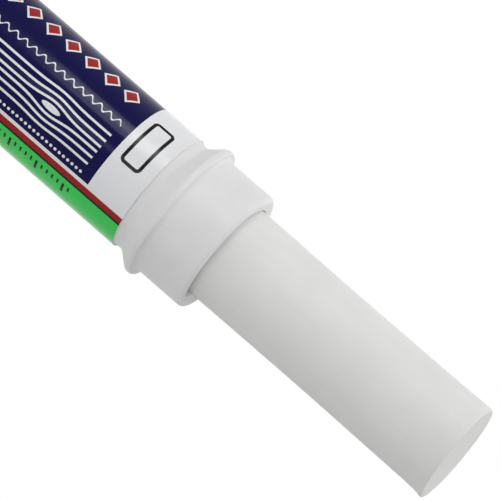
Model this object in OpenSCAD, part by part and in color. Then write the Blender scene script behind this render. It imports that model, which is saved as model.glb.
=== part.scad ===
// Twist-up repair wax stick, standing on its knob with the wax wound out.
// The long axis is Z, the base is at Z = 0 and the printed panel faces -Y.

/* [Wax stick] */
// Diameter of the wax
stick_d = 19.26; // [14:0.02:30]
// How far the wax stands out of the collar's nose
stick_out = 53.4; // [20:0.2:90]
// How far the tip sinks below the nose when the wax is wound in
tip_park = 0.6; // [0.2:0.1:4]
// Radius round the edge of the tip
tip_round = 0.9; // [0.3:0.1:2.5]
// Length of the thinner foot that sits in the cup
foot_l = 5; // [3.5:0.5:8]

/* [Barrel tube] */
// Wall of the tube between the guide grooves
barrel_wall = 2.05; // [1.7:0.05:4]
// Depth of the guide grooves in the bore
groove_depth = 0.85; // [0.4:0.05:1.1]
// Width of the guide grooves
groove_w = 3.2; // [2:0.1:6]
// Number of guide grooves
groove_count = 2; // [2:1:4]
// Spare run below the wound-in carrier
spare_run = 10; // [1:0.5:40]

/* [Label] */
// Thickness of the printed film
label_t = 0.11; // [0.05:0.01:0.4]
// Bare tube left below the film
label_margin = 0.6; // [0.2:0.1:10]
// Width of the seam where the film laps over itself
seam_w = 4; // [1:0.5:12]

/* [Front collar] */
// Wall of the collar's neck
neck_wall = 2.61; // [2.3:0.01:5]
// Length of the neck, from the flange to the nose
neck_l = 10.8; // [6:0.1:30]
// How far the flange stands proud of the neck
flange_h = 1.48; // [0.5:0.01:4]
// Width of the flange's rim
flange_rim = 0.8; // [0.3:0.1:3]
// Length of the cone that rises to the flange
flare_l = 3.1; // [1:0.1:6]
// Length of the straight shank below the cone
shank_l = 1.8; // [0.5:0.1:6]
// Step from the tube's outside in to the shank
shank_step = 0.3; // [0.1:0.05:0.6]
// Radius round the outer edge of the nose
nose_round = 1.3; // [0.3:0.1:1.3]
// Radius round the inner edge of the nose
mouth_round = 0.9; // [0.3:0.1:1]
// Length of the collar's spigot inside the tube
spigot_l = 8.5; // [5:0.5:20]
// Wall of the collar's and the plug's spigots
spigot_wall = 1.05; // [0.7:0.05:1.25]
// Height of the snap beads on the spigots
bead_h = 0.2; // [0.1:0.05:0.3]
// Distance from a spigot's shoulder to its snap bead
bead_setback = 3; // [2:0.1:4]

/* [Carrier cup] */
// Wall of the cup round the foot of the wax
cup_wall = 0.7; // [0.5:0.05:1.4]
// Thickness of the cup's floor
cup_floor = 2.2; // [1.2:0.1:5]
// Length of the skirt below the floor
skirt_l = 6; // [4.5:0.5:14]
// Height of the guide lugs at the bottom of the skirt
lug_h = 3.2; // [2:0.1:4]
// Height of the threaded boss above the floor
nut_rise = 3; // [1:0.1:3.2]
// Wall of the threaded boss
nut_wall = 1.3; // [0.9:0.1:2.2]
// Thickness of the fins that key the wax to the cup
fin_t = 0.8; // [0.4:0.1:1.6]
// Height of the fins
fin_h = 2.4; // [1:0.1:3]
// Number of fins
fin_count = 4; // [3:1:6]

/* [Lead screw] */
// Diameter of the screw's core
core_d = 3.8; // [3:0.1:5]
// Height of the thread above the core
thread_h = 0.7; // [0.4:0.05:0.9]
// Width of the thread at the core
thread_root_w = 1.8; // [1.2:0.1:2.4]
// Width of the thread at its crest
thread_crest_w = 0.9; // [0.4:0.1:1.2]
// Rise of the carrier in one turn
thread_lead = 6; // [4:0.5:12]
// Diameter of the journal that turns in the rear plug
journal_d = 5.2; // [4.6:0.1:7]
// Diameter of the thrust flange
thrust_d = 9; // [8:0.1:12]
// Thickness of the thrust flange
thrust_t = 1.2; // [0.8:0.1:3]
// Width of the six-sided drive end across its flats
drive_flats = 4.2; // [3:0.1:4.4]
// Length of the drive end
drive_l = 6.5; // [4:0.5:8]

/* [Rear plug] */
// Thickness of the plug's visible flange
plug_rim = 1.6; // [0.8:0.1:4]
// Length of the plug's spigot inside the tube
plug_l = 6; // [5:0.5:12]
// Thickness of the plug's floor
plug_floor = 2.8; // [2.5:0.1:5]
// Wall of the bearing sleeve round the journal
bearing_wall = 1.4; // [0.8:0.1:2.2]
// Length of the bearing sleeve above the floor
bearing_l = 3.6; // [1:0.1:8]

/* [Seal ring] */
// Diameter of the rubber ring's cord
ring_cord = 1.4; // [1:0.1:1.8]

/* [Twist knob] */
// Height of the knob
knob_h = 14; // [11.5:0.5:30]
// Wall of the knob
knob_wall = 1.8; // [1.3:0.1:3]
// Thickness of the knob's floor
knob_floor = 1.8; // [1:0.1:3]
// Wall of the hub round the drive socket
hub_wall = 1.9; // [1:0.1:3]
// Number of grip flutes
flute_count = 30; // [16:1:40]
// Radius of each grip flute
flute_r = 0.7; // [0.4:0.05:0.9]
// Depth of each grip flute
flute_depth = 0.45; // [0.2:0.05:0.6]
// Plain band above and below the flutes
flute_band = 1.7; // [1:0.1:3]
// Radius round the knob's bottom edge
knob_round = 0.9; // [0.3:0.1:1.4]

/* [Shade disc] */
// Thickness of the coloured disc in the knob's base
disc_t = 1.2; // [0.6:0.1:2]
// Width of the foot ring round the disc
foot_ring_w = 3; // [2:0.1:4]
// How far the disc lies above the base
disc_recess = 0.3; // [0.1:0.1:1]
// Diameter of the disc's stub
stub_d = 3; // [1.5:0.1:3.4]
// Length of the disc's stub
stub_l = 3; // [1:0.1:4]

/* [Clearances] */
// Radial gap between the wax and the bore
slide_gap = 0.2; // [0.1:0.05:0.5]
// Radial gap between the cup and the bore
cup_gap = 0.28; // [0.15:0.01:0.6]
// Gap round the lugs in their grooves
lug_gap = 0.2; // [0.1:0.05:0.4]
// Gap of parts that are pressed or cast together
fit_gap = 0.02; // [0.01:0.01:0.05]
// Gap between the film and the tube, filled with adhesive
glue_gap = 0.01; // [0.01:0.01:0.05]
// Radial gap of the journal in its bearing
run_gap = 0.05; // [0.02:0.01:0.1]
// Gap between the screw's thread and the nut's
thread_gap = 0.15; // [0.1:0.01:0.25]
// Gap between the knob and the plug
knob_gap = 0.3; // [0.1:0.05:1]
// End float of the thrust flange
end_float = 0.15; // [0.05:0.05:0.4]
// Gap between the lugs and their stop with the wax wound out
stop_gap = 0.3; // [0.1:0.05:1]

/* [Hidden] */

$fn = 96;

// Overrun of every cut
cut = 0.5;
// How deep the thread's ridge is sunk into the core
ridge_sink = 0.3;
// Gap above the screw's tip at the top of its bore in the wax
bore_end_gap = 0.5;
// Radial gap between the thread's crest and the bore in the wax
wax_bore_gap = 0.3;
// Distance from the screw's tip down from the top of the threaded boss
tip_setback = 0.5;
// Facets of the thread in one turn
turn_facets = 20;
// Facets over which the thread fades in and out
fade_facets = 4;
// Direction of the film's seam, seen from above
seam_angle = 135;

// Radii, from the wax outwards
stick_r = stick_d / 2;
bore_r = stick_r + slide_gap;
barrel_r = bore_r + barrel_wall;
groove_r = bore_r + groove_depth;
spigot_r = bore_r + spigot_wall;
seat_r = spigot_r + fit_gap;
bead_r = spigot_r + bead_h;
shank_r = barrel_r - shank_step;
neck_r = bore_r + neck_wall;
flange_r = neck_r + flange_h;
film_r = barrel_r + glue_gap;
label_r = film_r + label_t;
cup_r = bore_r - cup_gap;
foot_r = cup_r - cup_wall;
core_r = core_d / 2;
crest_r = core_r + thread_h;
nut_r = crest_r + thread_gap + nut_wall;
wax_bore_r = crest_r + wax_bore_gap;
journal_r = journal_d / 2;
bearing_r = journal_r + run_gap;
ring_mid_r = bearing_r + ring_cord / 2;
ring_seat_r = bearing_r + ring_cord + fit_gap;
drive_r = drive_flats / 2 / cos(30);
knob_r = barrel_r;
hub_r = drive_r + fit_gap + hub_wall;
disc_r = knob_r - foot_ring_w;

// Heights, from the base upwards
travel = stick_out + tip_park;
plug_z = knob_h + knob_gap;
barrel_z = plug_z + plug_rim;
bearing_top = plug_z + plug_floor + bearing_l;
thrust_z = bearing_top + end_float;
thrust_top = thrust_z + thrust_t;
inner_top = max(thrust_top, barrel_z + plug_l);
carrier_z = inner_top + spare_run + travel;
floor_z = carrier_z + skirt_l;
floor_top = floor_z + cup_floor;
nut_top = floor_top + nut_rise;
screw_tip = nut_top - tip_setback;
stop_z = carrier_z + lug_h + stop_gap;
barrel_top = stop_z + spigot_l;
barrel_l = barrel_top - barrel_z;
flare_z = barrel_top + shank_l;
rim_z = flare_z + flare_l;
neck_z = rim_z + flange_rim;
nose_z = neck_z + neck_l;
wax_tip = nose_z + stick_out;
wax_bore_top = nut_top + travel + bore_end_gap - tip_setback;
drive_z = knob_h - drive_l;
ridge_z = thrust_top + thread_root_w;
ridge_turns = (screw_tip - thread_root_w - ridge_z) / thread_lead;

// A straight tube from z0 to z1
module tube(z0, z1, r_in, r_out) {
    translate([0, 0, z0])
        difference() {
            cylinder(h = z1 - z0, r = r_out);
            translate([0, 0, -cut])
                cylinder(h = z1 - z0 + 2 * cut, r = r_in);
        }
}

// A straight rod from z0 to z1
module rod(z0, z1, r) {
    translate([0, 0, z0])
        cylinder(h = z1 - z0, r = r);
}

// Half section of a snap bead, centred at height z on a wall of radius r
module bead_section(z, r, h) {
    translate([r - h, z])
        circle(r = 2 * h);
}

// A ring whose half section is the child
module turned() {
    rotate_extrude()
        children();
}

// Points of one thread profile at turn t, which widens by grow on every side
function thread_profile(t, turns, grow, fade) =
    let (
        fade_turns = fade_facets / turn_facets,
        full_share = fade ? min(1, t / fade_turns, (turns - t) / fade_turns) : 1,
        root_x = core_r - ridge_sink,
        crest_x = core_r - ridge_sink / 2 + (thread_h + ridge_sink / 2) * full_share + grow,
        spread = (thread_root_w - thread_crest_w) / 2 / thread_h,
        root_half = thread_root_w / 2 + spread * ridge_sink + grow,
        crest_half = root_half - spread * (crest_x - grow - root_x)
    )
    [[root_x, -root_half], [crest_x, -crest_half], [crest_x, crest_half], [root_x, root_half]];

// A right-hand helical ridge that starts at height z
module ridge(z, turns, grow, fade) {
    steps = ceil(turns * turn_facets);
    corner_count = 4;
    points = [
        for (i = [0:steps])
            let (t = turns * i / steps, a = 360 * t)
                for (p = thread_profile(t, turns, grow, fade))
                    [p[0] * cos(a), p[0] * sin(a), z + thread_lead * t + p[1]]
    ];
    sides = [
        for (i = [0:steps - 1], j = [0:corner_count - 1])
            let (
                a = i * corner_count + j,
                b = i * corner_count + (j + 1) % corner_count
            )
                each [[b, a + corner_count, a], [b + corner_count, a + corner_count, b]]
    ];
    first = [[2, 1, 0], [3, 2, 0]];
    last = [for (f = first) [for (k = [2, 1, 0]) steps * corner_count + f[k]]];
    polyhedron(points = points, faces = concat(sides, first, last));
}

// Printed tube that holds everything, grooved inside for the carrier's lugs
module barrel_tube() {
    color("whitesmoke")
        difference() {
            rod(barrel_z, barrel_top, barrel_r);
            rod(barrel_z - cut, barrel_top + cut, bore_r);
            rod(stop_z, barrel_top + cut, seat_r);
            rod(barrel_z - cut, barrel_z + plug_l + stop_gap, seat_r);
            turned() {
                bead_section(barrel_top - bead_setback, seat_r, bead_h);
                bead_section(barrel_z + bead_setback, seat_r, bead_h);
            }
            for (i = [0:groove_count - 1])
                rotate([0, 0, 360 * i / groove_count])
                    intersection() {
                        translate([0, -groove_w / 2, barrel_z])
                            cube([barrel_r, groove_w, barrel_l]);
                        rod(barrel_z, stop_z, groove_r);
                    }
        }
}

// Printed film wrapped round the tube, lapped over itself at the back
module label_wrap() {
    lap_angle = 360 * seam_w / (2 * PI * label_r);
    color("midnightblue")
        union() {
            tube(barrel_z + label_margin, barrel_top, film_r, label_r);
            rotate([0, 0, seam_angle])
                translate([0, 0, barrel_z + label_margin])
                    rotate_extrude(angle = lap_angle)
                        translate([film_r + label_t / 2, 0])
                            square([1.5 * label_t, barrel_l - label_margin]);
        }
}

// Moulded collar: spigot, shank, flared flange and the neck that takes a cap
module front_collar() {
    color("gainsboro")
        difference() {
            turned() {
                translate([0, stop_z])
                    square([spigot_r, spigot_l]);
                bead_section(barrel_top - bead_setback, spigot_r, bead_h);
                polygon([
                    [0, barrel_top], [shank_r, barrel_top], [shank_r, flare_z],
                    [flange_r, rim_z], [flange_r, neck_z], [neck_r, neck_z],
                    [neck_r, nose_z - nose_round], [neck_r - nose_round, nose_z - nose_round],
                    [neck_r - nose_round, nose_z], [0, nose_z]
                ]);
                translate([neck_r - nose_round, nose_z - nose_round])
                    circle(r = nose_round);
            }
            rod(stop_z - cut, nose_z + cut, bore_r);
            turned()
                difference() {
                    translate([bore_r - cut, nose_z - mouth_round])
                        square(mouth_round + cut);
                    translate([bore_r + mouth_round, nose_z - mouth_round])
                        circle(r = mouth_round);
                }
        }
}

// The fins on the cup's floor, or with grow the slots that they fill
module fins(grow) {
    for (i = [0:fin_count - 1])
        rotate([0, 0, 360 * i / fin_count])
            translate([nut_r - nut_wall / 2, -fin_t / 2 - grow, floor_top - cup_floor / 2])
                cube([foot_r + cup_wall / 2 - nut_r + nut_wall / 2, fin_t + 2 * grow,
                    fin_h + grow + cup_floor / 2]);
}

// Cast wax with a rounded tip, a foot for the cup and a bore for the screw
module wax_stick() {
    color("ivory")
        difference() {
            turned() {
                translate([0, floor_top])
                    square([foot_r - fit_gap, foot_l + cut]);
                translate([0, floor_top + foot_l])
                    square([stick_r, wax_tip - tip_round - floor_top - foot_l]);
                translate([0, wax_tip - 2 * tip_round])
                    square([stick_r - tip_round, 2 * tip_round]);
                translate([stick_r - tip_round, wax_tip - tip_round])
                    circle(r = tip_round);
            }
            rod(floor_top - cut, nut_top + fit_gap, nut_r + fit_gap);
            rod(floor_top - cut, wax_bore_top, wax_bore_r);
            fins(fit_gap);
        }
}

// Cup that grips the wax, with a threaded boss and lugs that stop it turning
module carrier_cup() {
    lug_w = groove_w - 2 * lug_gap;
    color("white")
        difference() {
            union() {
                tube(carrier_z, floor_top + foot_l, foot_r, cup_r);
                rod(floor_z, floor_top, cup_r - cup_wall / 2);
                rod(carrier_z, nut_top, nut_r);
                fins(0);
                for (i = [0:groove_count - 1])
                    rotate([0, 0, 360 * i / groove_count])
                        intersection() {
                            translate([foot_r + cup_wall / 2, -lug_w / 2, carrier_z])
                                cube([barrel_r - foot_r, lug_w, lug_h]);
                            rod(carrier_z, carrier_z + lug_h, groove_r - lug_gap);
                        }
            }
            rod(carrier_z - cut, nut_top + cut, core_r + thread_gap);
            nut_thread();
        }
}

// The thread cut through the boss, in step with the screw's
module nut_thread() {
    turns_below = floor((carrier_z - ridge_z - 2 * thread_root_w) / thread_lead);
    start_z = ridge_z + turns_below * thread_lead;
    cut_turns = (nut_top + 2 * thread_root_w - start_z) / thread_lead;
    ridge(start_z, cut_turns, thread_gap, false);
}

// Screw that the knob turns, with journal, thrust flange and drive end
module lead_screw() {
    color("white")
        union() {
            translate([0, 0, drive_z])
                cylinder(h = drive_l, r = drive_r, $fn = 6);
            rod(knob_h, thrust_z, journal_r);
            rod(thrust_z, thrust_top, thrust_d / 2);
            rod(thrust_top, screw_tip, core_r);
            ridge(ridge_z, ridge_turns, 0, true);
        }
}

// Plug that closes the tube's rear end and carries the screw's journal
module rear_plug() {
    color("gainsboro")
        difference() {
            union() {
                rod(plug_z, barrel_z, barrel_r);
                rod(barrel_z, plug_z + plug_floor, spigot_r);
                tube(barrel_z, barrel_z + plug_l, bore_r, spigot_r);
                rod(plug_z, bearing_top, bearing_r + bearing_wall);
                turned()
                    difference() {
                        bead_section(barrel_z + bead_setback, spigot_r, bead_h);
                        translate([0, barrel_z])
                            square([bore_r + spigot_wall / 2, plug_l]);
                    }
            }
            rod(plug_z - cut, bearing_top + cut, bearing_r);
            rod(plug_z - cut, plug_z + ring_cord + fit_gap, ring_seat_r);
        }
}

// Rubber ring that seals the journal and gives the twist its drag
module seal_ring() {
    color("dimgray")
        turned()
            translate([ring_mid_r, plug_z + ring_cord / 2])
                circle(d = ring_cord);
}

// Fluted knob at the rear end, with a hub for the screw's drive end
module twist_knob() {
    floor_z0 = disc_recess + disc_t;
    floor_z1 = floor_z0 + knob_floor;
    color("whitesmoke")
        difference() {
            union() {
                turned()
                    difference() {
                        union() {
                            translate([0, knob_round])
                                square([knob_r, knob_h - knob_round]);
                            square([knob_r - knob_round, knob_h]);
                            translate([knob_r - knob_round, knob_round])
                                circle(r = knob_round);
                        }
                        translate([0, floor_z1])
                            square([knob_r - knob_wall, knob_h]);
                    }
                rod(floor_z0, knob_h, hub_r);
            }
            rod(-cut, floor_z0, disc_r + fit_gap);
            rod(0, drive_z, stub_d / 2 + fit_gap);
            translate([0, 0, drive_z - fit_gap])
                cylinder(h = drive_l + cut, r = drive_r + fit_gap, $fn = 6);
            for (i = [0:flute_count - 1])
                rotate([0, 0, 360 * i / flute_count])
                    translate([knob_r + flute_r - flute_depth, 0, flute_band])
                        cylinder(h = knob_h - 2 * flute_band, r = flute_r, $fn = 24);
        }
}

// Coloured disc pressed into the knob's base, which shows the wax's shade
module shade_disc() {
    color("ivory")
        union() {
            rod(disc_recess, disc_recess + disc_t, disc_r);
            rod(disc_recess, disc_recess + disc_t + stub_l, stub_d / 2);
        }
}

barrel_tube();
label_wrap();
front_collar();
wax_stick();
carrier_cup();
lead_screw();
rear_plug();
seal_ring();
twist_knob();
shade_disc();
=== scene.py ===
import math

import bmesh
import bpy
from mathutils import Matrix, Vector


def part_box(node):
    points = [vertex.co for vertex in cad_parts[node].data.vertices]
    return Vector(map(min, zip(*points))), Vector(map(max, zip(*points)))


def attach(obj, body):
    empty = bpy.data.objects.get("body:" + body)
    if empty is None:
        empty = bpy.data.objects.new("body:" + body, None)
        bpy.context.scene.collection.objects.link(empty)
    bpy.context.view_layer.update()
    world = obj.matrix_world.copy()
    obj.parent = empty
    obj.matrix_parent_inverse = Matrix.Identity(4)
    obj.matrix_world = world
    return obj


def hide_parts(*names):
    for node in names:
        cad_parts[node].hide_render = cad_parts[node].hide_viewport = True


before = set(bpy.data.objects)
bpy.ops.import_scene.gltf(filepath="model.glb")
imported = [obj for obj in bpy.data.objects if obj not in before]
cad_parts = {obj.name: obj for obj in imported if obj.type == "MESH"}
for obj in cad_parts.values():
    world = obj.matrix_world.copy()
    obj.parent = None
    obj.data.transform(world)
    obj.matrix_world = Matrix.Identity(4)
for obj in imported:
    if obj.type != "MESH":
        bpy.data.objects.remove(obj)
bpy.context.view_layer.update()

MM = 0.001


def mm(*values):
    """Millimetres to a vector in metres."""
    return Vector(values) * MM


def top_of(node):
    """Height of a CAD node's upper end, in millimetres."""
    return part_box(node)[1].z / MM


def bottom_of(node):
    """Height of a CAD node's lower end, in millimetres."""
    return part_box(node)[0].z / MM


def radius_of(node):
    """Largest radius of a CAD node, in millimetres."""
    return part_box(node)[1].x / MM


# Places and radii in millimetres, as the CAD nodes give them
LABEL_TOP = top_of("label_wrap")
LABEL_BOTTOM = bottom_of("label_wrap")
COLLAR_BOTTOM = bottom_of("front_collar")
NOSE_Z = top_of("front_collar")
WAX_TIP = top_of("wax_stick")
WAX_FOOT = bottom_of("wax_stick")
PLUG_Z = bottom_of("rear_plug")
TUBE_BOTTOM = bottom_of("barrel_tube")
KNOB_H = top_of("twist_knob")
STICK_R = radius_of("wax_stick")
TUBE_R = radius_of("barrel_tube")
LABEL_R = radius_of("label_wrap")
FLANGE_R = radius_of("front_collar")

# Gaps and walls in millimetres, which no node's box shows
SLIDE_GAP = 0.2
SPIGOT_WALL = 1.05
NECK_WALL = 2.61
FILM_T = 0.11
BORE_R = STICK_R + SLIDE_GAP
SPIGOT_R = BORE_R + SPIGOT_WALL

# Closer than this, in millimetres, two places are the same
NEAR = 0.001


# Modelling


def choose(piece, wanted):
    """Selects the vertices whose place suits, with the edges and faces between them."""
    shape = bmesh.from_edit_mesh(piece.data)
    for part in (*shape.verts, *shape.edges, *shape.faces):
        part.select = False
    for vertex in shape.verts:
        vertex.select = bool(wanted(vertex.co / MM))
    shape.select_flush_mode()
    bmesh.update_edit_mesh(piece.data)


def choose_faces(piece, wanted):
    """Selects the faces whose middle and normal suit."""
    bpy.ops.mesh.select_mode(type="FACE")
    shape = bmesh.from_edit_mesh(piece.data)
    for part in (*shape.verts, *shape.edges, *shape.faces):
        part.select = False
    for face in shape.faces:
        if wanted(face.calc_center_median() / MM, face.normal):
            face.select_set(True)
    shape.select_flush_mode()
    bmesh.update_edit_mesh(piece.data)


def turn_at(before, corner, after):
    """How far a section's outline turns at a corner, in radians."""
    first = Vector(corner[:2]) - Vector(before[:2])
    second = Vector(after[:2]) - Vector(corner[:2])
    return first.angle(second)


def turned_piece(name, corners, steps=128, closed=True, rows=()):
    """A turned piece from the corners (radius, height, rounding) of its half section.

    The section is drawn by extruding one vertex, the long runs named in rows
    (height from, height to, cuts, radius) are divided, the corners are rounded,
    and the section is spun round the stick's axis. An open section has its two
    ends on the axis."""
    bpy.ops.object.select_all(action="DESELECT")
    first = mm(corners[0][0], 0, corners[0][1])
    bpy.ops.mesh.primitive_plane_add(size=MM, location=first)
    piece = bpy.context.active_object
    piece.name = piece.data.name = name
    bpy.ops.object.transform_apply(location=True, rotation=False, scale=False)
    bpy.ops.object.mode_set(mode="EDIT")
    bpy.ops.mesh.select_mode(type="VERT")
    bpy.ops.mesh.select_all(action="SELECT")
    bpy.ops.mesh.merge(type="CENTER")
    for here, there in zip(corners, corners[1:]):
        step = mm(there[0] - here[0], 0, there[1] - here[1])
        bpy.ops.mesh.extrude_vertices_move(TRANSFORM_OT_translate={"value": step})
    if closed:
        ends = [Vector((c[0], 0, c[1])) for c in (corners[0], corners[-1])]
        choose(piece, lambda p: min((p - end).length for end in ends) < NEAR)
        bpy.ops.mesh.edge_face_add()
    for low, high, cuts, radius in rows:
        choose(piece, lambda p: abs(p.x - radius) < NEAR
               and min(abs(p.z - low), abs(p.z - high)) < NEAR)
        bpy.ops.mesh.subdivide(number_cuts=cuts)
    for i, corner in enumerate(corners):
        if not corner[2]:
            continue
        place = Vector((corner[0], 0, corner[1]))
        turn = turn_at(corners[i - 1], corner, corners[(i + 1) % len(corners)])
        choose(piece, lambda p: (p - place).length < NEAR)
        bpy.ops.mesh.bevel(offset=corner[2] * math.tan(turn / 2) * MM,
                           offset_type="OFFSET", segments=6, profile=0.5,
                           affect="VERTICES")
    bpy.ops.mesh.select_all(action="SELECT")
    bpy.ops.mesh.spin(steps=steps, angle=2 * math.pi, center=(0, 0, 0), axis=(0, 0, 1))
    close_seams()
    bpy.ops.object.mode_set(mode="OBJECT")
    return piece


def close_seams():
    """Merges the seam and the poles, and turns every face outwards."""
    bpy.ops.mesh.select_all(action="SELECT")
    bpy.ops.mesh.remove_doubles(threshold=2 * NEAR * MM)
    bpy.ops.mesh.normals_make_consistent(inside=False)


def use(piece):
    """Makes a piece the one that operators act on."""
    bpy.ops.object.select_all(action="DESELECT")
    piece.select_set(True)
    bpy.context.view_layer.objects.active = piece


def edit(piece):
    """Opens a piece for shaping by its vertices."""
    use(piece)
    bpy.ops.object.mode_set(mode="EDIT")
    bpy.ops.mesh.select_mode(type="VERT")


def done_editing():
    """Closes the piece that was opened for shaping."""
    bpy.ops.object.mode_set(mode="OBJECT")


def softly(reach):
    """Settings that let a move fade out over a reach in millimetres."""
    return {"use_proportional_edit": True, "proportional_edit_falloff": "SMOOTH",
            "proportional_size": reach * MM}


def finish_with(piece, kind, **settings):
    """Adds a modifier with its settings and applies it."""
    use(piece)
    modifier = piece.modifiers.new(kind.lower(), kind)
    for name, value in settings.items():
        setattr(modifier, name, value)
    bpy.ops.object.modifier_apply(modifier=modifier.name)


def ripple(piece, name, size, height, detail=2):
    """Gives a surface soft waves of a size and height in millimetres."""
    waves = bpy.data.textures.new(name, "CLOUDS")
    waves.noise_scale = size * MM
    waves.noise_depth = detail
    finish_with(piece, "DISPLACE", texture=waves, texture_coords="LOCAL",
                strength=height * MM, mid_level=0.5)


def smooth(piece, degrees=32):
    """Smooth shading that keeps sharp edges, with even flats beside the rounded ones."""
    use(piece)
    bpy.ops.object.shade_smooth_by_angle(angle=math.radians(degrees))
    finish_with(piece, "WEIGHTED_NORMAL", keep_sharp=True, weight=80)


# Outline of a snap bead: height from its middle, and rise from the spigot's wall
BEAD = ((-0.35, 0.0), (-0.20, 0.14), (0.0, 0.20), (0.20, 0.14), (0.35, 0.0))


def bead(radius, height, direction=1):
    """Corners of a snap bead on a spigot's wall, going up with direction 1."""
    return [(radius + rise, height + shift * direction, 0) for shift, rise in BEAD]


# The pieces


def make_wax():
    """Cast wax with a hand-cut end, a foot for the cup, a bore and slots for the fins."""
    bore_r, bore_top = 2.9, WAX_FOOT + 57
    recess_r, recess_top = 4.07, WAX_FOOT + 3.02
    foot_r, foot_l, edge_round = 8.83, 5.0, 0.3
    spare_l = 0.12
    shoulder, tip = WAX_FOOT + foot_l, WAX_TIP + spare_l
    past_shoulder = shoulder + 0.5
    section = [
        (0, bore_top, 0), (bore_r, bore_top, 0), (bore_r, recess_top, 0),
        (recess_r, recess_top, 0), (recess_r, WAX_FOOT, 0), (foot_r, WAX_FOOT, 0),
        (foot_r, shoulder, 0), (STICK_R, shoulder, edge_round), (STICK_R, tip, edge_round),
        (0, tip, 0),
    ]
    wax = turned_piece("cast_wax", section, steps=144, closed=False,
                       rows=[(shoulder, tip, 110, STICK_R)])
    edit(wax)
    # The end face and the top of its rounding are divided finely
    end_depth = 0.1
    choose_faces(wax, lambda p, n: n.z > 0.9 and p.z > tip - end_depth)
    bpy.ops.mesh.select_mode(type="EDGE")
    bpy.ops.mesh.subdivide(number_cuts=9)
    bpy.ops.mesh.select_mode(type="VERT")
    # The end was cut a little out of square: its +X side stands further out
    cut_depth, cut_angle = 0.72, 1.5
    choose(wax, lambda p: p.z > tip - cut_depth)
    bpy.ops.transform.rotate(value=math.radians(cut_angle), orient_axis="Y",
                             center_override=mm(0, 0, tip - edge_round))
    # The cut dragged a faint lip out at that side
    lip_x, lip_half = 8.6, 4
    for depth, drag, reach in ((0.4, 0.20, 0.9), (1.1, 0.14, 4.0)):
        choose(wax, lambda p: p.x > lip_x and abs(p.y) < lip_half and p.z > tip - depth)
        bpy.ops.transform.translate(value=mm(drag, 0, 0), **softly(reach))
    # The wax shrank a little along its middle and at its foot as it cooled
    for height, size, reach in ((shoulder + 38.5, 0.981, 34), (shoulder + 6, 0.994, 16)):
        choose(wax, lambda p: abs(p.z - height) < 0.5)
        bpy.ops.transform.resize(value=(size, size, 1), center_override=(0, 0, 0),
                                 **softly(reach))
    # It leans in its bore, so that it lies 0.12 mm towards -X at the nose
    lean = -0.13
    choose(wax, lambda p: p.z > past_shoulder)
    bpy.ops.transform.rotate(value=math.radians(lean), orient_axis="Y",
                             center_override=mm(0, 0, tip))
    done_editing()
    ripple(wax, "casting waves", 9, 0.06)
    ripple(wax, "handling dents", 2.2, 0.03, detail=1)
    slot_l, slot_w = 18, 0.84
    cut_slot(wax, slot_l, slot_w)
    cut_slot(wax, slot_w, slot_l)
    use(wax)
    bpy.ops.object.shade_smooth_by_angle(angle=math.radians(40))
    return wax


def cut_slot(wax, size_x, size_y):
    """Cuts the slots of two opposite fins across the wax's foot."""
    slot_top, cutter_h = WAX_FOOT + 2.42, 4
    bpy.ops.object.select_all(action="DESELECT")
    bpy.ops.mesh.primitive_cube_add(size=MM, location=mm(0, 0, slot_top - cutter_h / 2))
    cutter = bpy.context.active_object
    cutter.scale = (size_x, size_y, cutter_h)
    bpy.ops.object.transform_apply(location=True, rotation=False, scale=True)
    finish_with(wax, "BOOLEAN", object=cutter, operation="DIFFERENCE", solver="EXACT")
    bpy.data.objects.remove(cutter)


def make_collar():
    """Moulded collar: spigot, shank, flare, rim and neck with a rounded nose."""
    shoulder_r, shank_r, neck_r = TUBE_R - 0.02, TUBE_R - 0.3, BORE_R + NECK_WALL
    shoulder_z, flare_z, rim_z, neck_z = (LABEL_TOP + rise for rise in (0.12, 1.8, 4.55, 5.8))
    bead_setback, nose_l = 3, 3
    nose_round, mouth_round = 0.95, 1.0
    section = [
        (BORE_R, COLLAR_BOTTOM, 0), (SPIGOT_R, COLLAR_BOTTOM, 0),
        *bead(SPIGOT_R, LABEL_TOP - bead_setback), (SPIGOT_R, LABEL_TOP, 0),
        (shoulder_r, LABEL_TOP, 0), (shank_r, shoulder_z, 0), (shank_r, flare_z, 1.3),
        (FLANGE_R, rim_z, 0.9), (FLANGE_R, neck_z, 0.5), (neck_r, neck_z, 0.8),
        (neck_r, NOSE_Z, nose_round), (BORE_R, NOSE_Z, mouth_round),
    ]
    collar = turned_piece("neck_collar", section, steps=160,
                          rows=[(neck_z, NOSE_Z, 6, neck_r)])
    # The mouth's rounding runs deepest on the +X side, and a little deeper at -Y than at +Y
    edit(collar)
    for axis, degrees in (("X", -1.0), ("Y", -3.4)):
        choose(collar, lambda p: p.xy.length < BORE_R + 0.1 and p.z > NOSE_Z - nose_l)
        bpy.ops.transform.rotate(value=math.radians(degrees), orient_axis=axis,
                                 center_override=mm(0, 0, NOSE_Z - mouth_round),
                                 **softly(mouth_round))
    # The nose's front sinks a little towards the mouth on the +X side
    front_r, sink_angle, sink_reach = 11.3, -2.0, 0.8
    choose(collar, lambda p: p.xy.length < front_r and p.z > NOSE_Z - nose_l)
    bpy.ops.transform.rotate(value=math.radians(sink_angle), orient_axis="Y",
                             center_override=mm(-BORE_R, 0, NOSE_Z), **softly(sink_reach))
    done_editing()
    ripple(collar, "moulding sink", 8, 0.05)
    smooth(collar)
    return collar


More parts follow.
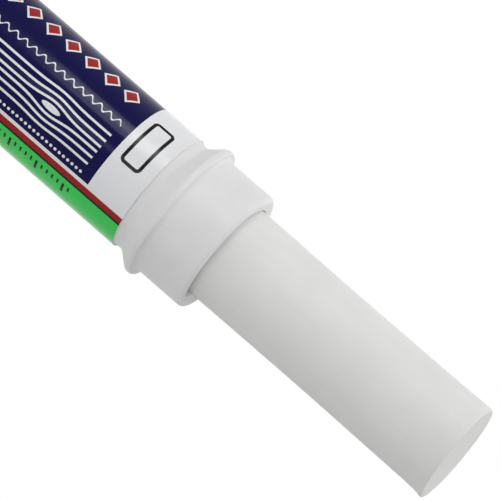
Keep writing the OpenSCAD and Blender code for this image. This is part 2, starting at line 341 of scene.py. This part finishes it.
def make_film():
    """Printed film round the tube, with its lapped seam at the back."""
    inner_r, edge_round = LABEL_R - FILM_T, 0.03
    section = [(inner_r, LABEL_BOTTOM, 0), (LABEL_R, LABEL_BOTTOM, edge_round),
               (LABEL_R, LABEL_TOP, edge_round), (inner_r, LABEL_TOP, 0)]
    film = turned_piece("printed_film", section, steps=160,
                        rows=[(LABEL_BOTTOM, LABEL_TOP, 8, LABEL_R)])
    edit(film)
    seam, lap_w, lap_h = math.radians(135), 4, 0.105

    def on_lap(place, normal):
        """Test for the outer faces that lie on the lap."""
        turn = (math.atan2(place.y, place.x) - seam) % (2 * math.pi)
        outward = (normal.x * place.x + normal.y * place.y) / LABEL_R
        return turn < lap_w / LABEL_R and outward > 0.9 and place.xy.length > LABEL_R - 0.05

    choose_faces(film, on_lap)
    bpy.ops.mesh.extrude_region_shrink_fatten(
        TRANSFORM_OT_shrink_fatten={"value": lap_h * MM})
    done_editing()
    smooth(film, 28)
    return film


def make_plug():
    """Plug that closes the tube's end, with its bearing sleeve and ring seat."""
    ring_seat_r, bearing_r, sleeve_r = 4.07, 2.65, 4.05
    ring_seat_top, floor_top, sleeve_top = (PLUG_Z + rise for rise in (1.42, 2.8, 6.4))
    spigot_top, bead_z = TUBE_BOTTOM + 6, TUBE_BOTTOM + 3
    section = [
        (ring_seat_r, PLUG_Z, 0), (ring_seat_r, ring_seat_top, 0),
        (bearing_r, ring_seat_top, 0), (bearing_r, sleeve_top, 0.15),
        (sleeve_r, sleeve_top, 0.15), (sleeve_r, floor_top, 0.3),
        (BORE_R, floor_top, 0.3), (BORE_R, spigot_top, 0.15),
        (SPIGOT_R, spigot_top, 0.15), *bead(SPIGOT_R, bead_z, -1),
        (SPIGOT_R, TUBE_BOTTOM, 0), (TUBE_R, TUBE_BOTTOM, 0.12),
        (TUBE_R, PLUG_Z, 0.25),
    ]
    plug = turned_piece("end_plug", section, steps=128)
    smooth(plug)
    return plug


# The knob's grip flutes, and the columns of vertices from one flute to the next
FLUTES = 30
COLUMNS = 16
# How a flute runs out at its ends: height, and share of its depth
RUN_OUT = ((1.7, 0.0), (1.82, 0.55), (2.0, 0.88), (2.3, 1.0))


def in_column(column, height, radius):
    """Test for the vertices at a height that lie in one column of every flute."""
    def wanted(p):
        if abs(p.z - height) > 0.01 or abs(p.xy.length - radius) > 0.02:
            return False
        place = round(math.atan2(p.y, p.x) / (2 * math.pi) * FLUTES * COLUMNS)
        return (place - column) % COLUMNS == 0

    return wanted


def make_knob():
    """Knob with grip flutes that run out softly at both ends, a floor and a hub."""
    knob_r, wall_r, hub_r, socket_r = TUBE_R, 10.08, 4.345, 2.445
    seat_r, seat_top, floor_top, socket_z, pin_r = 8.9, 1.5, 3.3, 7.48, 1.52
    flute_r, flute_depth = 0.7, 0.45
    runs = [*RUN_OUT, (KNOB_H / 2, 1.0),
            *[(KNOB_H - height, share) for height, share in reversed(RUN_OUT)]]
    section = [
        (seat_r, 0, 0.2), (knob_r, 0, 0.9), *[(knob_r, height, 0) for height, _ in runs],
        (knob_r, KNOB_H, 0.35), (wall_r, KNOB_H, 0.25), (wall_r, floor_top, 0.5),
        (hub_r, floor_top, 0.4), (hub_r, KNOB_H, 0.2), (socket_r, KNOB_H, 0.2),
        (socket_r, socket_z, 0), (pin_r, socket_z, 0), (pin_r, seat_top, 0),
        (seat_r, seat_top, 0.1),
    ]
    knob = turned_piece("fluted_knob", section, steps=FLUTES * COLUMNS)
    edit(knob)
    column_w = 2 * math.pi * knob_r / (FLUTES * COLUMNS)
    half_flute = int(flute_r / column_w)
    for column in range(-half_flute, half_flute + 1):
        scoop = math.sqrt(flute_r ** 2 - (column_w * column) ** 2) - (flute_r - flute_depth)
        for height, share in runs:
            if not share:
                continue
            choose(knob, in_column(column, height, knob_r))
            size = 1 - scoop * share / knob_r
            bpy.ops.transform.resize(value=(size, size, 1), center_override=(0, 0, 0))
    done_editing()
    smooth(knob, 38)
    return knob


def make_disc():
    """Tinted disc in the knob's base, with a shallow dimple and a ring groove below."""
    disc_r, stub_r = radius_of("shade_disc"), 1.5
    low, stub_top = bottom_of("shade_disc"), top_of("shade_disc")
    high, dimple_z, groove_z = low + 1.2, low + 0.18, low + 0.1
    dimple_r, dimple_slope = 0.9, 0.25
    groove_in, groove_out, groove_slope = disc_r - 0.8, disc_r - 0.5, 0.1
    section = [
        (0, dimple_z, 0), (dimple_r, dimple_z, 0.1), (dimple_r + dimple_slope, low, 0.12),
        (groove_in - groove_slope, low, 0.1), (groove_in, groove_z, 0.05),
        (groove_out, groove_z, 0.05), (groove_out + groove_slope, low, 0.05),
        (disc_r, low, 0.2), (disc_r, high, 0.1), (stub_r, high, 0.15),
        (stub_r, stub_top, 0.3), (0, stub_top, 0),
    ]
    disc = turned_piece("tint_disc", section, steps=128, closed=False)
    smooth(disc)
    return disc


# Node helpers


class Finish:
    """A material's node tree, with short calls for the nodes that the finishes need."""

    def __init__(self, name):
        self.material = bpy.data.materials.new(name)
        self.material.use_nodes = True
        self.tree = self.material.node_tree
        self.shader = self.tree.nodes["Principled BSDF"]
        self.place = self.add("ShaderNodeTexCoord").outputs["Object"]

    def add(self, kind, **settings):
        """Adds a node with its settings."""
        node = self.tree.nodes.new(kind)
        for name, value in settings.items():
            setattr(node, name, value)
        return node

    def feed(self, socket, value):
        """Links a socket, or sets it to a number or colour."""
        if isinstance(value, bpy.types.NodeSocket):
            self.tree.links.new(value, socket)
        else:
            socket.default_value = value

    def calc(self, operation, *values):
        """A sum or function of numbers and sockets."""
        node = self.add("ShaderNodeMath", operation=operation)
        for socket, value in zip(node.inputs, values):
            self.feed(socket, value)
        return node.outputs[0]

    def less(self, value, amount):
        """A value less an amount."""
        return self.calc("SUBTRACT", value, amount)

    def largest(self, *values):
        """The largest of the values: inside all the shapes whose distances they are."""
        result = values[0]
        for value in values[1:]:
            result = self.calc("MAXIMUM", result, value)
        return result

    def away(self, value, centre, half):
        """Distance outside a stripe of that centre and half width."""
        return self.less(self.calc("ABSOLUTE", self.less(value, centre)), half)

    def diagonal(self, side, end):
        """Straight distance, from its parts to the side and along."""
        return self.calc("SQRT", self.calc("ADD", self.calc("MULTIPLY", side, side),
                                           self.calc("MULTIPLY", end, end)))

    def repeat(self, value, start, pitch):
        """Distance from the nearest of the marks that start there and repeat."""
        return self.calc("PINGPONG", self.less(value, start), pitch / 2)

    def inside(self, distance, edge=0.05):
        """1 where the distance is below zero, with a soft edge."""
        node = self.add("ShaderNodeMapRange")
        self.feed(node.inputs["Value"], distance)
        for name, value in (("From Min", -edge / 2), ("From Max", edge / 2),
                            ("To Min", 1.0), ("To Max", 0.0)):
            node.inputs[name].default_value = value
        return node.outputs[0]

    def mix(self, share, under, over):
        """Lays a share of one colour over another."""
        node = self.add("ShaderNodeMix", data_type="RGBA")
        for socket, value in ((node.inputs[0], share), (node.inputs[6], under),
                              (node.inputs[7], over)):
            self.feed(socket, value)
        return node.outputs[2]

    def paint(self, under, distance, over, edge=0.05):
        """Lays a colour over another where the distance is below zero."""
        return self.mix(self.inside(distance, edge), under, over)

    def stretched(self, scale):
        """Object coordinates scaled per axis."""
        node = self.add("ShaderNodeMapping")
        node.inputs["Scale"].default_value = scale
        self.feed(node.inputs["Vector"], self.place)
        return node.outputs[0]

    def noise(self, size, detail=3.0, rough=0.5, stretch=(1, 1, 1), distortion=0.0):
        """Noise whose lumps are about size millimetres across."""
        node = self.add("ShaderNodeTexNoise")
        self.feed(node.inputs["Vector"], self.stretched(stretch))
        for name, value in (("Scale", 1 / (size * MM)), ("Detail", detail),
                            ("Roughness", rough), ("Distortion", distortion)):
            node.inputs[name].default_value = value
        return node.outputs["Fac"]

    def ramp(self, value, stops, interpolation="LINEAR"):
        """Ramp through stops (position, grey level or colour)."""
        node = self.add("ShaderNodeValToRGB")
        node.color_ramp.interpolation = interpolation
        self.feed(node.inputs[0], value)
        points = node.color_ramp.elements
        while len(points) < len(stops):
            points.new(0.5)
        for point, (position, tone) in zip(points, stops):
            point.position = position
            point.color = tone if hasattr(tone, "__len__") else (tone,) * 3 + (1,)
        return node.outputs[0]

    def bumps(self, *layers):
        """Bump from layers of (height 0 to 1, depth in millimetres)."""
        normal = None
        for height, depth in layers:
            node = self.add("ShaderNodeBump")
            node.inputs["Strength"].default_value = 1.0
            node.inputs["Distance"].default_value = depth * MM
            self.feed(node.inputs["Height"], height)
            if normal is not None:
                self.feed(node.inputs["Normal"], normal)
            normal = node.outputs[0]
        self.feed(self.shader.inputs["Normal"], normal)

    def set(self, **sockets):
        """Sets or links the shader's sockets: base_colour, roughness and so on."""
        names = {"base_colour": "Base Color", "roughness": "Roughness",
                 "specular": "Specular IOR Level", "subsurface": "Subsurface Weight",
                 "subsurface_radius": "Subsurface Radius",
                 "subsurface_scale": "Subsurface Scale"}
        for key, value in sockets.items():
            self.feed(self.shader.inputs[names[key]], value)


def colour(red, green, blue):
    """A solid colour, as the node sockets take it."""
    return (red, green, blue, 1.0)


# The finishes


def wax_finish():
    """Matt white wax: faint casting clouds, drag streaks along the stick, small pits."""
    wax = Finish("matt white wax")
    clouds = wax.noise(7.0, detail=4.0, rough=0.55)
    streaks = wax.noise(1.6, detail=3.0, rough=0.6, stretch=(1, 1, 0.09))
    grain = wax.noise(0.35, detail=2.0, rough=0.6)
    # Pits lie in cells of 3.6 mm. Seven cells in ten have none, and the others one each
    cell, without_pit, growth = 3.6, 0.72, 0.34
    pit_cells = wax.add("ShaderNodeTexVoronoi", feature="F1")
    pit_cells.inputs["Scale"].default_value = 1 / (cell * MM)
    wax.feed(pit_cells.inputs["Vector"], wax.place)
    pit_size = wax.add("ShaderNodeSeparateColor")
    wax.feed(pit_size.inputs[0], pit_cells.outputs["Color"])
    reach = wax.calc("MULTIPLY", wax.less(pit_size.outputs[0], without_pit), growth)
    unpitted = wax.less(1.0, wax.inside(wax.less(pit_cells.outputs["Distance"], reach), 0.05))
    tint = wax.mix(wax.ramp(clouds, [(0.3, 0.0), (0.7, 1.0)]),
                   colour(0.800, 0.800, 0.780), colour(0.835, 0.835, 0.825))
    rubbed = wax.mix(wax.ramp(streaks, [(0.35, 0.0), (0.68, 0.35)]),
                     tint, colour(0.775, 0.780, 0.765))
    # The wax is a little darker in colour inside the pits than round them
    darker_in_pits = wax.mix(wax.calc("MULTIPLY", wax.less(1.0, unpitted), 0.12),
                    rubbed, colour(0.62, 0.62, 0.60))
    wax.set(base_colour=darker_in_pits,
            roughness=wax.ramp(streaks, [(0.3, 0.50), (0.7, 0.64)]),
            specular=0.22, subsurface=0.12, subsurface_radius=(1.0, 0.9, 0.75),
            subsurface_scale=1.2 * MM)
    wax.bumps((clouds, 0.10), (streaks, 0.035), (grain, 0.010), (unpitted, 0.02))
    return wax.material


def moulded_finish(name, shade, roughness, grain_depth=0.006):
    """Moulded plastic: spark-eroded grain, faint sink, fine handling scuffs."""
    plastic = Finish(name)
    sink = plastic.noise(6.0, detail=2.0)
    grain = plastic.noise(0.22, detail=2.0, rough=0.6)
    scuffs = plastic.noise(1.1, detail=5.0, rough=0.7, stretch=(1, 1, 0.35), distortion=1.5)
    dull, scuffed = (colour(*(c * share for c in shade)) for share in (0.955, 0.90))
    tint = plastic.mix(plastic.ramp(sink, [(0.3, 0.0), (0.72, 1.0)]), dull, colour(*shade))
    worn = plastic.mix(plastic.ramp(scuffs, [(0.60, 0.0), (0.72, 0.30)]), tint, scuffed)
    plastic.set(base_colour=worn,
                roughness=plastic.ramp(scuffs, [(0.35, roughness - 0.04),
                                                (0.7, roughness + 0.08)]),
                specular=0.20, subsurface=0.06, subsurface_radius=(1.0, 0.95, 0.9),
                subsurface_scale=0.8 * MM)
    plastic.bumps((sink, 0.05), (grain, grain_depth), (scuffs, 0.004))
    return plastic.material


def rubber_finish():
    """Black rubber, paler where dust clings to it."""
    rubber = Finish("black ring rubber")
    dust = rubber.noise(0.8, detail=4.0, rough=0.65)
    rubber.set(base_colour=rubber.mix(rubber.ramp(dust, [(0.45, 0.0), (0.75, 0.6)]),
                                      colour(0.018, 0.018, 0.018), colour(0.06, 0.06, 0.058)),
               roughness=rubber.ramp(dust, [(0.3, 0.48), (0.8, 0.66)]), specular=0.4)
    rubber.bumps((dust, 0.012))
    return rubber.material


# The film's inks, and the wood shades on its back
NAVY = colour(0.0010, 0.0002, 0.060)
FILM_WHITE = colour(0.84, 0.845, 0.86)
RED = colour(0.355, 0.012, 0.012)
GREEN = colour(0.040, 0.66, 0.105)
INK = colour(0.010, 0.010, 0.012)
SHADES = [colour(0.80, 0.79, 0.74), colour(0.56, 0.38, 0.20), colour(0.33, 0.15, 0.055),
          colour(0.14, 0.045, 0.018), colour(0.035, 0.018, 0.012)]

# Print sizes in millimetres. Places along the film are measured down from its upper
# end, and places round it from its -Y line towards -X. A stripe, panel or run is
# given by its middle and its half length
PANEL_MIDDLE = 9.425
PANEL_HALF_W = 16.815
PANEL_ALONG = (41.27, 32.73)
# From the panel's middle: end of the ink line, of the red stripe and of the white gap
STRIPE_ENDS = ((19.31, INK), (18.83, RED), (17.56, FILM_WHITE))
MOTIF_RUN = (41.3, 30.6)


def film_finish():
    """Gloss printed film, with its print drawn by distances on its surface."""
    film = Finish("gloss printed film")
    split = film.add("ShaderNodeSeparateXYZ")
    film.feed(split.inputs[0], film.place)
    x, y, z = split.outputs
    along = film.calc("MULTIPLY_ADD", z, -1 / MM, LABEL_TOP)
    turn = film.calc("ARCTAN2", film.calc("MULTIPLY", x, -1.0), film.calc("MULTIPLY", y, -1.0))
    girth = film.calc("MULTIPLY", turn, LABEL_R)
    # Distances round the film from the middle of the panel, and from the line opposite
    half_way = math.pi * LABEL_R
    off_panel = film.calc("PINGPONG", film.less(girth, PANEL_MIDDLE), half_way)
    off_back = film.less(half_way, off_panel)

    drawn = GREEN
    for end, ink in STRIPE_ENDS:
        drawn = film.paint(drawn, film.less(off_panel, end), ink)
    panel = film.largest(film.less(off_panel, PANEL_HALF_W), film.away(along, *PANEL_ALONG))
    drawn = film.paint(drawn, panel, NAVY)
    run = film.away(along, *MOTIF_RUN)
    drawn = draw_swatch(film, drawn, along, girth)
    drawn = draw_grain(film, drawn, along, girth, run)
    drawn = draw_diamonds(film, drawn, along, girth)
    drawn = draw_lines(film, drawn, along, girth, run)
    drawn = draw_ticks(film, drawn, along, off_panel, run)
    drawn = draw_shades(film, drawn, along, off_back, run)

    peel = film.noise(1.4, detail=2.0)
    waves = film.noise(9.0, detail=1.0)
    wear = film.noise(0.7, detail=5.0, rough=0.7, stretch=(1, 1, 0.4))
    film.set(base_colour=drawn, specular=0.115,
             roughness=film.ramp(wear, [(0.35, 0.10), (0.7, 0.16)]))
    film.bumps((waves, 0.025), (peel, 0.002))
    return film.material


def draw_swatch(film, drawn, along, girth):
    """Bare frame with round corners in the white band."""
    middle_round, middle_along = 5.3, 4.75
    half_w, half_h, corner, line_half = 5.0, 1.95, 0.7, 0.33
    side = film.calc("MAXIMUM", film.away(girth, middle_round, half_w - corner), 0.0)
    end = film.calc("MAXIMUM", film.away(along, middle_along, half_h - corner), 0.0)
    off_line = film.calc("ABSOLUTE", film.less(film.diagonal(side, end), corner))
    return film.paint(drawn, film.less(off_line, line_half), INK)


def draw_grain(film, drawn, along, girth, run):
    """Wood-grain lines that part round knots."""
    middle, line_half = -1.05, 0.22
    knot_start, knot_pitch, knot_narrow = 22.0, 30.0, 7.0
    knot_half_l, knot_half_w, knot_size = 2.6, 0.72, 0.8
    phase = film.calc("MULTIPLY", film.less(along, knot_start), 2 * math.pi / knot_pitch)
    near_knot = film.calc("POWER", film.calc(
        "MULTIPLY_ADD", film.calc("COSINE", phase), 0.5, 0.5), knot_narrow)
    side = film.calc("ABSOLUTE", film.less(girth, middle))
    lines = None
    for rest, bulge in ((0.55, 0.75), (1.85, 0.55), (3.25, 0.35)):
        off_line = film.less(film.less(side, rest), film.calc("MULTIPLY", near_knot, bulge))
        line = film.less(film.calc("ABSOLUTE", off_line), line_half)
        lines = line if lines is None else film.calc("MINIMUM", lines, line)
    knot = film.diagonal(
        film.calc("DIVIDE", film.repeat(along, knot_start, knot_pitch), knot_half_l),
        film.calc("DIVIDE", side, knot_half_w))
    lines = film.calc("MINIMUM", lines, film.less(knot, knot_size))
    return film.paint(drawn, film.largest(lines, run), FILM_WHITE)


def draw_diamonds(film, drawn, along, girth):
    """Row of red diamonds with white edges."""
    middle, start, pitch = 11.4, 13.5, 4.6
    half_w, half_l, white_size, red_size = 1.9, 1.5, 1.25, 0.92
    row = film.away(along, 41.1, 29.7)
    side = film.calc("ABSOLUTE", film.less(girth, middle))
    diamond = film.calc("ADD", film.calc("DIVIDE", side, half_w),
                        film.calc("DIVIDE", film.repeat(along, start, pitch), half_l))
    for size, ink in ((white_size, FILM_WHITE), (red_size, RED)):
        drawn = film.paint(drawn, film.largest(film.less(diamond, size), row), ink, 0.04)
    return drawn


def draw_lines(film, drawn, along, girth, run):
    """A wavy line between diamonds and grain, and a dotted one beside the red stripe."""
    wave_middle, wave_l, wave_h, wave_half = 5.0, 2.2, 0.5, 0.16
    dot_middle, dot_start, dot_pitch, dot_r = -6.25, 12.0, 1.0, 0.3
    wave = film.calc("MULTIPLY", film.calc("SINE", film.calc(
        "MULTIPLY", along, 2 * math.pi / wave_l)), wave_h)
    off_wave = film.calc("ABSOLUTE", film.less(film.less(girth, wave_middle), wave))
    wavy = film.less(off_wave, wave_half)
    drawn = film.paint(drawn, film.largest(wavy, run), FILM_WHITE)
    dots = film.less(film.diagonal(film.less(girth, dot_middle),
                                   film.repeat(along, dot_start, dot_pitch)), dot_r)
    return film.paint(drawn, film.largest(dots, run), FILM_WHITE)


def draw_ticks(film, drawn, along, off_panel, run):
    """Ruler ticks on the green, every fifth one longer."""
    pitch = 1.25
    ticks = []
    for every, half_w, middle, half_l in ((1, 0.20, 21.1, 0.6), (5, 0.26, 21.75, 1.25)):
        ticks.append(film.largest(film.less(film.repeat(along, 0.0, pitch * every), half_w),
                                  film.away(off_panel, middle, half_l), run))
    return film.paint(drawn, film.calc("MINIMUM", *ticks), INK, 0.04)


def draw_shades(film, drawn, along, off_back, run):
    """Five squares in wood shades at the back, between two rules."""
    first, pitch, half, edge = 19.3, 11.0, 2.5, 0.35
    rule_off, rule_half = 5.6, 0.12
    row = film.away(along, 41.3, 27.4)
    square = film.largest(film.less(off_back, half),
                          film.less(film.repeat(along, first, pitch), half), row)
    count = len(SHADES)
    share = film.calc("DIVIDE", film.less(along, first - pitch / 2), pitch * count)
    shades = film.ramp(share, [(i / count, shade) for i, shade in enumerate(SHADES)], "CONSTANT")
    drawn = film.paint(drawn, film.less(square, edge), FILM_WHITE)
    drawn = film.paint(drawn, square, shades)
    return film.paint(drawn, film.largest(film.away(off_back, rule_off, rule_half), run), INK)


def clothe(piece, material):
    """Gives a piece its one material."""
    piece.data.materials.clear()
    piece.data.materials.append(material)


# The object

white_plastic = moulded_finish("satin white moulding", (0.825, 0.825, 0.83), 0.46)
knob_plastic = moulded_finish("satin knob moulding", (0.78, 0.78, 0.785), 0.42, 0.010)
tube_plastic = moulded_finish("semi-gloss tube", (0.82, 0.82, 0.82), 0.30, 0.003)
natural_plastic = moulded_finish("natural moulding", (0.78, 0.78, 0.75), 0.36)
matt_wax = wax_finish()
label_print = film_finish()

made = [
    (make_film(), "label_wrap", "barrel", "label_film", label_print),
    (make_collar(), "front_collar", "barrel", "collar_plastic", white_plastic),
    (make_plug(), "rear_plug", "barrel", "plug_plastic", white_plastic),
    (make_wax(), "wax_stick", "stick", "wax", matt_wax),
    (make_knob(), "twist_knob", "knob", "knob_plastic", knob_plastic),
    (make_disc(), "shade_disc", "knob", "disc_plastic", matt_wax),
]
for piece, node, body, slot, material in made:
    clothe(piece, material)
    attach(piece, body)
    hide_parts(node)

for node, material in (("barrel_tube", tube_plastic), ("carrier_cup", natural_plastic),
                       ("lead_screw", natural_plastic), ("seal_ring", rubber_finish())):
    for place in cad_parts[node].material_slots:
        place.material = material


# The camera

# Distance from the label's end in metres, tilt out of the stick's side view, and the
# stick's slope across the picture
VIEW_D = 1.0176
TILT = math.radians(11.2)
SLOPE = math.radians(41.0)
# Focal length and sensor width in millimetres
LENS = 417.6
SENSOR = 36
# The picture's side and the middle of the label's end in it, in pixels
PICTURE_PX = 500
LABEL_END_PX = (158.5, 193.5)


def add_camera():
    """Camera at the photograph's angle: the stick's axis runs down to the right."""
    label_end = mm(0, 0, LABEL_TOP)
    towards = Vector((0, -math.cos(TILT), math.sin(TILT)))
    place = label_end + VIEW_D * towards
    axis = Vector((0, 0, 1))
    up_axis = (axis - axis.dot(towards) * towards).normalized()
    across = towards.cross(up_axis)
    right = math.cos(SLOPE) * up_axis + math.sin(SLOPE) * across
    up = -math.sin(SLOPE) * up_axis + math.cos(SLOPE) * across
    pixel = VIEW_D / (LENS / SENSOR * PICTURE_PX)
    right_px, down_px = (PICTURE_PX / 2 - end for end in LABEL_END_PX)
    target = label_end + pixel * (right_px * right - down_px * up)
    back = (place - target).normalized()
    side = up.cross(back).normalized()
    top = back.cross(side)
    data = bpy.data.cameras.new("photo view")
    data.lens, data.sensor_width = LENS, SENSOR
    camera = bpy.data.objects.new("photo view", data)
    bpy.context.scene.collection.objects.link(camera)
    turn = Matrix((side, top, back)).transposed().to_4x4()
    camera.matrix_world = Matrix.Translation(place) @ turn
    bpy.context.scene.camera = camera


# Floor and light


def seen_or_mirrored(tree):
    """1 for camera, glossy and transmission rays."""
    rays = tree.nodes.new("ShaderNodeLightPath")
    total = rays.outputs["Is Camera Ray"]
    for name in ("Is Glossy Ray", "Is Transmission Ray"):
        node = tree.nodes.new("ShaderNodeMath")
        node.operation = "MAXIMUM"
        tree.links.new(total, node.inputs[0])
        tree.links.new(rays.outputs[name], node.inputs[1])
        total = node.outputs[0]
    return total


def add_floor():
    """Pale floor that keeps the object's shadow and turns pure white further out."""
    width, pale = 16, colour(0.86, 0.86, 0.86)
    shadow_from, shadow_to, shadow_stretch = 0.10, 0.19, 1.8
    bpy.ops.object.select_all(action="DESELECT")
    bpy.ops.mesh.primitive_plane_add(size=width)
    floor = bpy.context.active_object
    floor.name = "floor"
    finish = Finish("pale floor")
    tree = finish.tree
    tree.nodes.remove(finish.shader)
    matt = tree.nodes.new("ShaderNodeBsdfDiffuse")
    matt.inputs["Color"].default_value = pale
    white = tree.nodes.new("ShaderNodeEmission")
    spread = finish.add("ShaderNodeVectorMath", operation="LENGTH")
    finish.feed(spread.inputs[0], finish.stretched((1 / shadow_stretch, 1, 0)))
    fade = finish.add("ShaderNodeMapRange", interpolation_type="SMOOTHSTEP")
    finish.feed(fade.inputs["Value"], spread.outputs["Value"])
    fade.inputs["From Min"].default_value = shadow_from
    fade.inputs["From Max"].default_value = shadow_to
    mix = tree.nodes.new("ShaderNodeMixShader")
    finish.feed(mix.inputs[0], finish.calc("MULTIPLY", fade.outputs[0], seen_or_mirrored(tree)))
    tree.links.new(matt.outputs[0], mix.inputs[1])
    tree.links.new(white.outputs[0], mix.inputs[2])
    tree.links.new(mix.outputs[0], tree.nodes["Material Output"].inputs["Surface"])
    clothe(floor, finish.material)


def add_world(level):
    """White world for the camera and mirror reflections, softer as light."""
    world = bpy.data.worlds.new("studio")
    bpy.context.scene.world = world
    world.use_nodes = True
    tree = world.node_tree
    background = tree.nodes["Background"]
    background.inputs["Color"].default_value = colour(1, 1, 1)
    strength = tree.nodes.new("ShaderNodeMapRange")
    tree.links.new(seen_or_mirrored(tree), strength.inputs["Value"])
    strength.inputs["To Min"].default_value = level
    strength.inputs["To Max"].default_value = 1.0
    tree.links.new(strength.outputs[0], background.inputs["Strength"])


def around(degrees, distance, height):
    """A point round the stick, by its angle from -Y towards -X."""
    angle = math.radians(degrees)
    return Vector((-distance * math.sin(angle), -distance * math.cos(angle), height))


def add_softbox(name, degrees, distance, height, aim, size_x, size_y, radiance):
    """Rectangular softbox that isn't seen by the camera and faces a height of the stick."""
    data = bpy.data.lights.new(name, "AREA")
    data.shape, data.size, data.size_y = "RECTANGLE", size_x, size_y
    data.energy = radiance * size_x * size_y * math.pi
    lamp = bpy.data.objects.new(name, data)
    bpy.context.scene.collection.objects.link(lamp)
    lamp.location = around(degrees, distance, height)
    faces = Vector((0, 0, aim)) - lamp.location
    lamp.rotation_euler = faces.to_track_quat("-Z", "Y").to_euler()
    lamp.visible_camera = False
    return lamp


# Strength of the world as light, and the height in metres that the softboxes face
WORLD_LEVEL = 0.27
AIM = 0.12
# Name, angle round the stick, distance, height, height that it faces, size across and
# along, radiance
LAMPS = (
    ("key strip", 48, 0.30, 0.132, 0.132, 0.048, 0.26, 4.8),
    ("front strip", 4, 0.30, 0.132, 0.132, 0.046, 0.26, 2.4),
    ("side softbox", 88, 0.55, 0.52, AIM, 0.35, 0.35, 3.4),
    ("low fill", -35, 0.55, 0.11, AIM, 0.30, 0.20, 1.35),
    ("fill softbox", -68, 0.50, 0.14, AIM, 0.30, 0.30, 0.85),
    ("top softbox", 0, 0.0, 1.25, AIM, 0.80, 0.80, 1.15),
    ("back softbox", 150, 0.62, 0.42, AIM, 0.40, 0.30, 1.9),
)
SHEEN_CARD = ("sheen card", 46, 0.30, 0.055, 0.055, 0.14, 0.10, 5.5)

add_camera()
add_floor()
add_world(WORLD_LEVEL)
for lamp in LAMPS:
    add_softbox(*lamp)
# A low wide card that only shows as the broad sheen on the gloss film
add_softbox(*SHEEN_CARD).visible_diffuse = False

bpy.context.scene.view_settings.view_transform = "Standard"
